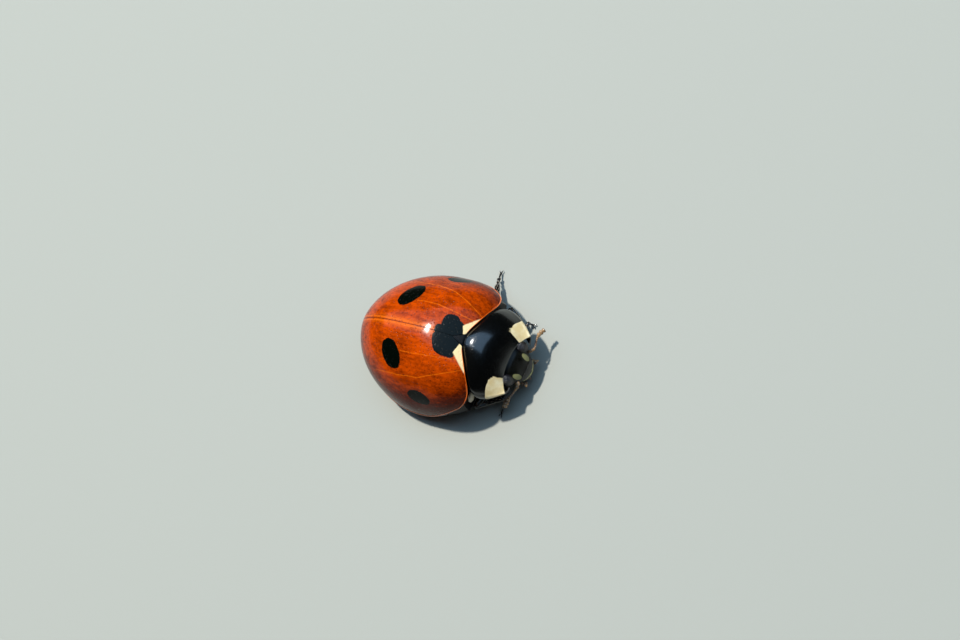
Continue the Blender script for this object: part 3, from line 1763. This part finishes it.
    def _jaws(self) -> None:
        """The two jaws, curved in behind the lip."""
        pattern = drawn("jaw_pattern", self.jaw_rings, sides=10, levels=1)
        towards = FACE.point(0, 0, 1) - FACE.point(0, 0, 0)
        material = JAW_SKIN.build()
        for hand in Hand:
            start, end = (
                FACE.point(side * hand.value, down, out) for side, down, out in (self.jaw_root, self.jaw_tip)
            )
            jaw = place_copy(pattern, f"jaw_{hand.word}", span(start, end, 1.0, towards))
            dress(jaw, material)
        discard(pattern)

    def _eyes(self) -> None:
        """The two eyes, each a faceted bead half sunk in the head."""
        material = EyeFinish().build()
        for hand in Hand:
            side, ahead, up = self.eye_place
            centre = STANCE.at(*(float(value) for value in SHIELD.turned((side * hand.value, ahead, up))))
            eye = ball(f"compound_eye_{hand.word}", self.eye_radii, segments=72, rings=44)
            settle(eye, Matrix.Translation(centre) @ Matrix.Rotation(SHIELD.neck_turn, 4, "Z"))
            dress(eye, material, [f"eye_{hand.word}"])


@dataclass
class Path:
    """A smooth line through a few places on the beetle."""

    places: Sequence[Triple]
    samples: int = 200

    def __post_init__(self) -> None:
        """Measures the line."""
        points = np.array([STANCE.at(*place) for place in self.places], float)
        stations = np.arange(len(points))
        fine = np.linspace(0, len(points) - 1, self.samples)
        self.points = np.stack([eased(fine, stations, points[:, axis]) for axis in range(3)], axis=1)
        steps = np.linalg.norm(np.diff(self.points, axis=0), axis=1)
        self.stops = np.concatenate([[0.0], np.cumsum(steps)])

    def at(self, share: float) -> Vector:
        """The point at a share of the line's length."""
        stop = share * self.stops[-1]
        return Vector([float(np.interp(stop, self.stops, self.points[:, axis])) for axis in range(3)])


@dataclass
class Feelers:
    """The two clubbed antennae and the four palps beside the mouth."""

    left_path: tuple[Triple, ...] = (
        (0.50, 3.62, 1.00),
        (0.68, 3.79, 0.93),
        (0.98, 3.74, 0.90),
        (1.24, 3.73, 0.88),
        (1.50, 3.87, 0.82),
    )
    right_path: tuple[Triple, ...] = (
        (-0.64, 3.56, 0.92),
        (-0.80, 3.60, 0.85),
        (-1.08, 3.44, 0.74),
        (-1.32, 3.31, 0.70),
        (-1.66, 3.22, 0.62),
    )
    lengths: tuple[float, ...] = (1.7, 1.0, 1.2, 0.8, 0.8, 0.75, 0.75, 0.75, 1.15, 1.1, 1.2)
    radii: tuple[float, ...] = (0.078, 0.064, 0.045, 0.043, 0.043, 0.044, 0.047, 0.056, 0.090, 0.105, 0.092)
    right_girth: float = 1.25
    overlap: float = 1.05
    palp_places: tuple[Triple, ...] = (
        (0.30, 1.30, 3.30),
        (0.40, 1.36, 3.34),
        (0.46, 1.42, 3.38),
        (0.49, 1.47, 3.42),
        (0.44, 1.60, 3.48),
    )
    palp_radii: tuple[float, ...] = (0.055, 0.06, 0.055)
    hatchet_radius: float = 0.085
    joint_rings: tuple[Ring, ...] = (
        Ring(0.0, 0.5, 0.5),
        Ring(0.12, 0.75, 0.75),
        Ring(0.6, 1.0, 1.0),
        Ring(0.88, 0.95, 0.95),
        Ring(1.0, 0.55, 0.55),
    )
    hatchet_rings: tuple[Ring, ...] = (
        Ring(0.0, 0.35, 0.5),
        Ring(0.3, 0.8, 0.8),
        Ring(0.75, 1.45, 0.9),
        Ring(0.95, 1.5, 0.7),
        Ring(1.0, 1.2, 0.4),
    )

    def build(self) -> None:
        """Builds and dresses the antennae and palps."""
        joint = drawn("joint_pattern", self.joint_rings, sides=12, levels=1)
        material = FEELER_SKIN.build()
        for hand in Hand:
            path = Path(self.left_path if hand is Hand.LEFT else self.right_path)
            total, gone, parts = sum(self.lengths), 0.0, []
            girth = self.right_girth if hand is Hand.RIGHT else 1.0
            for number, (length, radius) in enumerate(zip(self.lengths, self.radii)):
                start = path.at(gone / total)
                end = path.at(min((gone + length * self.overlap) / total, 1.0))
                parts.append(place_copy(joint, f"joint_{number}", span(start, end, radius * girth)))
                gone += length
            antenna = join(f"clubbed_antenna_{hand.word}", parts)
            dress(antenna, material, [f"antenna_{hand.word}"])
            self._palps(hand, joint, material)
        discard(joint)

    def _palps(self, hand: Hand, joint: Piece, material: Material) -> None:
        """The long palp with its hatchet-shaped end, and the short one behind the lip.

        Args:
            hand: the side.
            joint: the pattern of a joint.
            material: the finish of the palps.
        """
        sign = hand.value
        points = [FACE.point(sign * side, down, out) for side, down, out in self.palp_places]
        parts = []
        for start, end, radius in zip(points, points[1:], self.palp_radii):
            parts.append(place_copy(joint, f"palp_{len(parts)}", span(start, end, radius)))
        hatchet = drawn("hatchet", self.hatchet_rings, sides=12, levels=1)
        settle(hatchet, span(points[-2], points[-1], self.hatchet_radius))
        parts.append(hatchet)
        palp = join(f"jaw_palp_{hand.word}", parts)
        dress(palp, material, [f"palp_{hand.word}"])


@dataclass(frozen=True)
class LegPose:
    """One leg's places: hip, knee, ankle, the bend of the foot and its tip."""

    hip: Triple
    knee: Triple
    ankle: Triple
    bend: Triple
    tip: Triple


LIMB_RINGS: dict[str, tuple[Ring, ...]] = {
    "thigh": (
        Ring(0.0, 0.09, 0.07), Ring(0.04, 0.13, 0.10), Ring(0.20, 0.17, 0.13),
        Ring(0.50, 0.205, 0.145), Ring(0.80, 0.18, 0.13), Ring(0.94, 0.13, 0.11),
        Ring(1.0, 0.07, 0.06),
    ),
    "shin": (
        Ring(0.0, 0.05, 0.05), Ring(0.05, 0.075, 0.07), Ring(0.30, 0.095, 0.08, 0.015),
        Ring(0.70, 0.115, 0.085, 0.02), Ring(0.93, 0.125, 0.09, 0.01), Ring(1.0, 0.08, 0.06),
    ),
    "foot_joint": (
        Ring(0.0, 0.035, 0.03), Ring(0.15, 0.055, 0.045), Ring(0.70, 0.085, 0.05),
        Ring(0.92, 0.09, 0.045), Ring(1.0, 0.05, 0.03),
    ),
    "claw_joint": (
        Ring(0.0, 0.025, 0.025), Ring(0.2, 0.032, 0.032), Ring(0.7, 0.040, 0.040, 0, 0.02),
        Ring(0.95, 0.046, 0.044), Ring(1.0, 0.025, 0.025),
    ),
    "claw": (
        Ring(0.0, 0.026, 0.030), Ring(0.3, 0.022, 0.026, 0, 0.05), Ring(0.6, 0.015, 0.018, 0, 0.06),
        Ring(0.85, 0.008, 0.010, 0, 0.03), Ring(1.0, 0.002, 0.002, 0, 0.0),
    ),
    "spur": (
        Ring(0.0, 0.016, 0.016), Ring(0.5, 0.011, 0.011), Ring(1.0, 0.002, 0.002),
    ),
}
HAIR_RINGS = (Ring(0.0, 0.008, 0.008), Ring(0.5, 0.006, 0.006), Ring(1.0, 0.001, 0.001))


LEG_POSES = {
    "front_left": LegPose(
        hip=(0.50, 2.46, 0.52), knee=(2.04, 2.12, 0.76), ankle=(1.46, 2.72, 0.36),
        bend=(1.76, 2.80, 0.24), tip=(1.70, 2.99, 0.04),
    ),
    "front_right": LegPose(
        hip=(-0.58, 2.44, 0.52), knee=(-1.94, 2.04, 0.64), ankle=(-1.22, 2.98, 0.34),
        bend=(-1.62, 2.94, 0.20), tip=(-1.93, 2.86, 0.04),
    ),
    "middle_left": LegPose(
        hip=(0.86, 1.30, 0.50), knee=(2.20, 1.40, 0.58), ankle=(2.86, 1.00, 0.36),
        bend=(3.14, 0.88, 0.20), tip=(3.48, 0.80, 0.04),
    ),
    "middle_right": LegPose(
        hip=(-0.86, 1.30, 0.50), knee=(-2.12, 1.34, 0.58), ankle=(-2.38, 0.58, 0.36),
        bend=(-2.40, 0.20, 0.20), tip=(-2.36, -0.18, 0.04),
    ),
    "hind_left": LegPose(
        hip=(0.96, -0.18, 0.48), knee=(1.98, -0.98, 0.56), ankle=(1.84, -1.84, 0.36),
        bend=(1.86, -2.14, 0.20), tip=(1.94, -2.54, 0.04),
    ),
    "hind_right": LegPose(
        hip=(-0.96, -0.18, 0.48), knee=(-1.94, -0.98, 0.56), ankle=(-1.66, -1.84, 0.36),
        bend=(-1.62, -2.14, 0.20), tip=(-1.64, -2.54, 0.04),
    ),
}


@dataclass
class Legs:
    """Six slim legs, whose parts are modelled once and copied."""

    hip_radii: Triple = (0.34, 0.24, 0.24)
    spur_root: float = 0.05
    spur_side: float = 0.06
    spur_length: float = 0.12
    spur_splay: float = 0.03
    spur_drop: float = 0.04
    foot_middle: float = 0.52
    foot_overlap: float = 0.05
    foot_girths: tuple[float, float] = (0.9, 1.1)
    claw_joint_start: float = 0.35
    claw_joint_end: float = 0.70
    claw_start: float = 0.66
    claw_root_gap: float = 0.02
    claw_tip_gap: float = 0.07
    claw_tip_height: float = 0.012
    hairs_per_shin: int = 34
    hairs_per_foot: int = 12
    shin_hair_start: float = 0.3
    shin_radius: float = 0.075
    foot_radius: float = 0.04
    hair_length: float = 0.12
    hair_spread: float = 0.35
    hair_beat: float = 5.1
    hair_lean: float = 0.7
    hair_lowest: float = 0.02

    def patterns(self) -> dict[str, Piece]:
        """Models each part of a leg once, of unit length along +Z.

        Returns:
            The patterns by name.
        """
        patterns = {
            name: drawn(f"{name}_pattern", rings, sides=10, levels=1) for name, rings in LIMB_RINGS.items()
        }
        patterns["hair"] = drawn("hair_pattern", HAIR_RINGS, sides=6, levels=0)
        return patterns

    def build(self) -> None:
        """Builds and dresses all six legs."""
        patterns = self.patterns()
        material = LEG_SKIN.build()
        hairs: list[Piece] = []
        for name, pose in LEG_POSES.items():
            places = (pose.hip, pose.knee, pose.ankle, pose.bend, pose.tip)
            hip, knee, ankle, bend, tip = (STANCE.at(*place) for place in places)
            low_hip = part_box(f"coxa_{name}")
            socket = (low_hip[0] + low_hip[1]) / (2 * MM)
            self._coxa(name, socket, material)
            thigh = place_copy(patterns["thigh"], f"thigh_{name}", span(hip, knee))
            dress(thigh, material, [f"femur_{name}"])
            shin = self._shin(name, patterns, knee, ankle)
            dress(shin, material, [f"tibia_{name}"])
            foot = self._foot(name, patterns, ankle, bend, tip)
            dress(foot, material, [f"tarsus_{name}"])
            hair = patterns["hair"]
            above = knee.lerp(ankle, self.shin_hair_start)
            hairs += self._hairs(hair, above, ankle, self.shin_radius, self.hairs_per_shin)
            hairs += self._hairs(hair, ankle, bend, self.foot_radius, self.hairs_per_foot)
        coat = join("leg_hairs", hairs)
        dress(coat, HAIR_SKIN.build(), [])
        for pattern in patterns.values():
            discard(pattern)

    def _hairs(
        self, pattern: Piece, start: Vector, end: Vector, radius: float, count: int
    ) -> list[Piece]:
        """Short pale hairs that lean towards the foot.

        Args:
            pattern: one hair of unit length.
            start: the middle of the limb where they begin.
            end: where they stop.
            radius: how far from the middle they root.
            count: how many there are.

        Returns:
            The hairs.
        """
        along = (end - start).normalized()
        aside = along.cross(Vector((0, 0, 1))).normalized()
        over = aside.cross(along)
        hairs = []
        for index in range(count):
            turn = index * GOLDEN_TURN
            out = aside * math.cos(turn) + over * math.sin(turn)
            root = start.lerp(end, index / count) + out * radius
            swing = self.hair_spread * math.sin(index * self.hair_beat)
            length = self.hair_length * (1 - self.hair_spread + swing)
            tip = root + (out * self.hair_lean + along).normalized() * length
            tip.z = max(tip.z, self.hair_lowest)
            hairs.append(place_copy(pattern, f"hair_{index}", span(root, tip)))
        return hairs

    def _coxa(self, name: str, socket: Vector, material: Material) -> None:
        """The rounded hip joint, set in its socket under the body.

        Args:
            name: the leg's name.
            socket: the middle of the hip joint.
            material: its finish.
        """
        coxa = ball(f"hip_{name}", self.hip_radii, segments=32, rings=20)
        settle(coxa, Matrix.Translation(socket))
        dress(coxa, material, [f"coxa_{name}"])

    def _shin(self, name: str, patterns: dict[str, Piece], knee: Vector, ankle: Vector) -> Piece:
        """The shin with its two short spurs at the ankle.

        Args:
            name: the leg's name.
            patterns: the patterns by name.
            knee: where the shin begins.
            ankle: where it ends.

        Returns:
            The joined shin.
        """
        parts = [place_copy(patterns["shin"], f"shin_{name}", span(knee, ankle))]
        along = (ankle - knee).normalized()
        aside = along.cross(Vector((0, 0, 1))).normalized()
        drop = Vector((0, 0, self.spur_drop))
        for sign in (-1, 1):
            start = ankle - along * self.spur_root + aside * self.spur_side * sign
            end = start + along * self.spur_length + aside * self.spur_splay * sign - drop
            parts.append(place_copy(patterns["spur"], f"spur_{sign}", span(start, end)))
        return join(f"shin_{name}", parts)

    def _foot(
        self, name: str, patterns: dict[str, Piece], ankle: Vector, bend: Vector, tip: Vector
    ) -> Piece:
        """The foot: two lobed joints, the slender claw joint and a pair of claws.

        Args:
            name: the leg's name.
            patterns: the patterns by name.
            ankle: where the foot begins.
            bend: where it bends down to the floor.
            tip: where it ends.

        Returns:
            The joined foot.
        """
        middle = ankle.lerp(bend, self.foot_middle)
        heel = ankle.lerp(middle, -self.foot_overlap)
        claw_root, claw_end = bend.lerp(middle, self.claw_joint_start), bend.lerp(tip, self.claw_joint_end)
        parts = [
            place_copy(patterns["foot_joint"], "first", span(heel, middle, self.foot_girths[0])),
            place_copy(patterns["foot_joint"], "second", span(middle, bend, self.foot_girths[1])),
            place_copy(patterns["claw_joint"], "last", span(claw_root, claw_end)),
        ]
        along = (tip - bend).normalized()
        aside = along.cross(Vector((0, 0, 1))).normalized()
        for sign in (-1, 1):
            start = bend.lerp(tip, self.claw_start) + aside * self.claw_root_gap * sign
            end = tip + aside * self.claw_tip_gap * sign
            end.z = self.claw_tip_height
            parts.append(place_copy(patterns["claw"], f"claw_{sign}", span(start, end)))
        return join(f"foot_{name}", parts)


@dataclass
class Trunk:
    """The body under the wing cases: the three rings of the thorax and the abdomen."""

    inset: float = 0.14
    belly_share: float = 0.45
    belly_start: float = 0.02
    rim: float = 0.70
    belly: float = 0.42
    flatness: float = 0.98
    front: float = 1.88
    mesothorax_back: float = 1.00
    metathorax_back: float = -0.50
    gap: float = 0.05
    ventrites: tuple[float, ...] = (-0.95, -1.42, -1.84, -2.22, -2.56, -2.86)
    step: float = 0.022
    ventrite_bow: float = 0.05
    roof_gap: float = 0.25
    roof_top: float = 0.999
    grid: tuple[int, int] = (200, 120)
    shoulder_grid: tuple[int, int] = (96, 60)
    shoulder_end: float = 0.08
    shoulder_power: float = 0.8
    shoulder_aheads: tuple[float, ...] = (2.13, 2.22, 2.45, 2.70, 2.88)
    shoulder_half_widths: tuple[float, ...] = (1.25, 1.40, 1.40, 1.20, 0.95)
    shoulder_lows: tuple[float, ...] = (0.58, 0.50, 0.46, 0.48, 0.56)
    shoulder_highs: tuple[float, ...] = (1.90, 2.02, 1.95, 1.72, 1.52)
    plate_place: Triple = (1.66, 1.97, 1.04)
    plate_radii: Triple = (0.20, 0.10, 0.16)
    plate_tilt: float = 28.0

    def underside(self, across: Array, along: Array) -> Places:
        """The trunk from the middle of its belly, round its edge and up under the wing cases.

        Args:
            across: shares round the trunk.
            along: shares from the belly's middle to the top.

        Returns:
            The places.
        """
        turn = 2 * math.pi * across
        under = along < self.belly_share
        depth = np.clip(1 - along / self.belly_share, 0, 1)
        low = np.sqrt(1 - self.flatness * depth**2) * np.clip(along / self.belly_start, 0, 1)
        rise = np.clip((along - self.belly_share) / (1 - self.belly_share), 0, 1)
        side, ahead = DOME.outline(turn)
        shrink = 1 - self.inset / np.hypot(side, ahead)
        bend = (1 - rise**DOME.rise_power) ** (1 / DOME.power(turn))
        bend = np.where(rise > self.roof_top, 0.0, bend)
        share = np.where(under, low, bend) * shrink
        belly = self.rim + (self.belly - self.rim) * depth
        roof = self.rim + (DOME.top - self.roof_gap - self.rim) * rise
        side, ahead = side * share, ahead * share
        plates = self.overlap(side, ahead) * under * (depth > self.belly_start)
        return side, ahead, np.where(under, belly, roof) + plates

    def overlap(self, side: Array, ahead: Array) -> Array:
        """How far each belly plate rises towards its front edge, under the plate before it.

        Args:
            side: how far to the side each place lies.
            ahead: how far ahead it lies.

        Returns:
            The rises.
        """
        bowed = ahead + self.ventrite_bow * side**2
        height = np.zeros_like(ahead)
        edges = (self.metathorax_back, *self.ventrites)
        for front, back in zip(edges, edges[1:]):
            inside = (bowed <= front) & (bowed > back)
            height = height + inside * self.step * (bowed - back) / (front - back)
        return height

    def shoulders(self, across: Array, along: Array) -> Places:
        """The under part of the first ring of the thorax, closed at both ends.

        Args:
            across: shares round the ring.
            along: shares from behind to the front.

        Returns:
            The places.
        """
        turn = 2 * math.pi * across
        middle = np.clip((along - self.shoulder_end) / (1 - 2 * self.shoulder_end), 0, 1)
        ahead = self.shoulder_aheads[0] + (self.shoulder_aheads[-1] - self.shoulder_aheads[0]) * middle
        half_width = eased(ahead, self.shoulder_aheads, self.shoulder_half_widths)
        low = eased(ahead, self.shoulder_aheads, self.shoulder_lows)
        high = eased(ahead, self.shoulder_aheads, self.shoulder_highs)
        end = np.clip(np.minimum(along, 1 - along) / self.shoulder_end, 0, 1)
        closing = np.sqrt(1 - (1 - end) ** 2)
        power = self.shoulder_power
        side = np.sign(np.cos(turn)) * np.abs(np.cos(turn)) ** power * half_width * closing
        lift = np.sign(np.sin(turn)) * np.abs(np.sin(turn)) ** power * (high - low) / 2 * closing
        return SHIELD.turned((side, ahead, (high + low) / 2 + lift))

    def build(self, material: Material) -> None:
        """Builds and dresses the skins and the two white side plates.

        Args:
            material: the finish of the skins.
        """
        whole = draped("trunk_pattern", *self.grid, self.underside)
        merge_points(whole, 10 * WELD)
        spans = {
            "mesothorax": (self.mesothorax_back + self.gap / 2, self.front),
            "metathorax": (self.metathorax_back + self.gap / 2, self.mesothorax_back - self.gap / 2),
            "abdomen": (BEHIND_ALL, self.metathorax_back - self.gap / 2),
        }
        for name, (back, front) in spans.items():
            part = copy_of(whole, f"{name}_skin")
            self._cut(part, front, -1)
            self._cut(part, back, 1)
            dress(part, material, [name], angle=35)
        discard(whole)
        shoulders = draped("prothorax_skin", *self.shoulder_grid, self.shoulders)
        merge_points(shoulders, 10 * WELD)
        dress(shoulders, material, ["prothorax"])
        self._side_plates()

    def _cut(self, part: Piece, ahead: float, ward: int) -> None:
        """Cuts a skin across at one place and closes the cut.

        Args:
            part: the skin.
            ahead: where the cut lies.
            ward: 1 to keep what lies ahead of it, -1 to keep what lies behind.
        """
        place = STANCE.at(0, ahead, 0)
        with editing(part):
            bpy.ops.mesh.bisect(
                plane_co=place, plane_no=(0, ward, 0), use_fill=True, clear_outer=True, threshold=WELD
            )
        merge_points(part, WELD)

    def _side_plates(self) -> None:
        """The white plate on either side of the middle ring, behind the pronotum's hind corner."""
        material = PALE_SKIN.build()
        for hand in Hand:
            side, ahead, up = self.plate_place
            plate = ball(f"side_plate_{hand.word}", self.plate_radii, segments=28, rings=16)
            turn = Matrix.Rotation(math.radians(self.plate_tilt) * hand.value, 4, "Y")
            settle(plate, Matrix.Translation(STANCE.at(side * hand.value, ahead, up)) @ turn)
            dress(plate, material)


@dataclass
class Studio:
    """The pale floor, the soft lights and the camera."""

    azimuth: float = -19.67
    elevation: float = 56.76
    roll: float = -53.75
    lens: float = 300.0
    sensor: float = 36.0
    view_width: float = 35.47
    aim_right: float = 0.972
    aim_up: float = 1.257
    aim_depth: float = 1.42
    floor_size: float = 1.2

    def build(self) -> None:
        """Builds the whole studio."""
        bpy.context.scene.view_settings.view_transform = "Standard"
        self._floor()
        self._lights()
        self._camera()

    def _floor(self) -> None:
        """A plain pale floor."""
        deselect()
        bpy.ops.mesh.primitive_plane_add(size=self.floor_size, location=(0, 0, 0))
        floor = bpy.context.active_object
        floor.name = "floor"
        wiring = Wiring("floor_pale")
        floor.data.materials.append(wiring.finish(Base_Color=(0.38, 0.385, 0.335), Roughness=0.9))

    def _light(
        self,
        name: str,
        direction: Vector,
        distance: float,
        size: tuple[float, float],
        power: float,
        colour: Colour,
    ) -> None:
        """One soft light that faces the beetle.

        Args:
            name: the light's name.
            direction: the direction that it lies in.
            distance: how far off it lies.
            size: its length along the beetle and its width.
            power: its power.
            colour: its colour.
        """
        deselect()
        bpy.ops.object.light_add(type="AREA", location=direction.normalized() * distance)
        lamp = bpy.context.active_object
        lamp.name = name
        lamp.data.shape = "ELLIPSE" if size[0] == size[1] else "RECTANGLE"
        lamp.data.size, lamp.data.size_y = size
        lamp.data.energy = power
        lamp.data.color = colour
        facing = direction.normalized()
        along = (Vector((0, 1, 0)) - facing * facing.y).normalized()
        lamp.rotation_euler = Matrix((along, facing.cross(along), facing)).transposed().to_euler()

    def _lights(self) -> None:
        """The main light high on the beetle's left, a broad cool fill, and an even surround."""
        self._light(
            "main_light", direction=Vector((0.185, 0.225, 0.956)), distance=0.30,
            size=(0.018, 0.018), power=1.15, colour=(1.0, 0.97, 0.92),
        )
        self._light(
            "sky_light", direction=Vector((0.29, 0.06, 0.955)), distance=0.15,
            size=(0.42, 0.12), power=0.27, colour=(0.42, 0.68, 1.0),
        )
        world = bpy.data.worlds.new("surround")
        world.use_nodes = True
        background = world.node_tree.nodes["Background"]
        background.inputs["Color"].default_value = (0.80, 0.85, 0.92, 1.0)
        background.inputs["Strength"].default_value = 0.035
        world.cycles_visibility.glossy = False
        bpy.context.scene.world = world

    def _camera(self) -> None:
        """The camera, high in front of the beetle and rolled so that the head points to the right."""
        azimuth, elevation = math.radians(self.azimuth), math.radians(self.elevation)
        flat = math.cos(elevation)
        back = Vector((math.sin(azimuth) * flat, -math.cos(azimuth) * flat, math.sin(elevation)))
        level = Vector((math.cos(azimuth), math.sin(azimuth), 0.0))
        turn = Matrix.Rotation(math.radians(self.roll), 3, back)
        right = turn @ level
        up = back.cross(right)
        distance = self.view_width * self.lens / self.sensor + self.aim_depth
        aim = STANCE.at(0, 0, 0) + right * self.aim_right + up * self.aim_up
        deselect()
        bpy.ops.object.camera_add(location=(aim + back * distance) * MM)
        camera = bpy.context.active_object
        camera.name = "camera"
        camera.rotation_euler = Matrix((right, up, back)).transposed().to_euler()
        camera.data.lens = self.lens
        camera.data.sensor_width = self.sensor
        camera.data.clip_start = 0.01
        camera.data.clip_end = 5.0
        bpy.context.scene.camera = camera


def main() -> None:
    """Builds the beetle and its studio, and notes how its box compares with that of the solids."""
    logging.basicConfig(level=logging.INFO, format="%(name)s %(message)s")
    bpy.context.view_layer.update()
    deselect()
    body = BODY_SKIN.build()
    Trunk().build(body)
    WingCases().build()
    Pronotum().build()
    Scutellum().build(body)
    Head().build()
    Feelers().build()
    Legs().build()
    Studio().build()


if __name__ == "__main__":
    main()
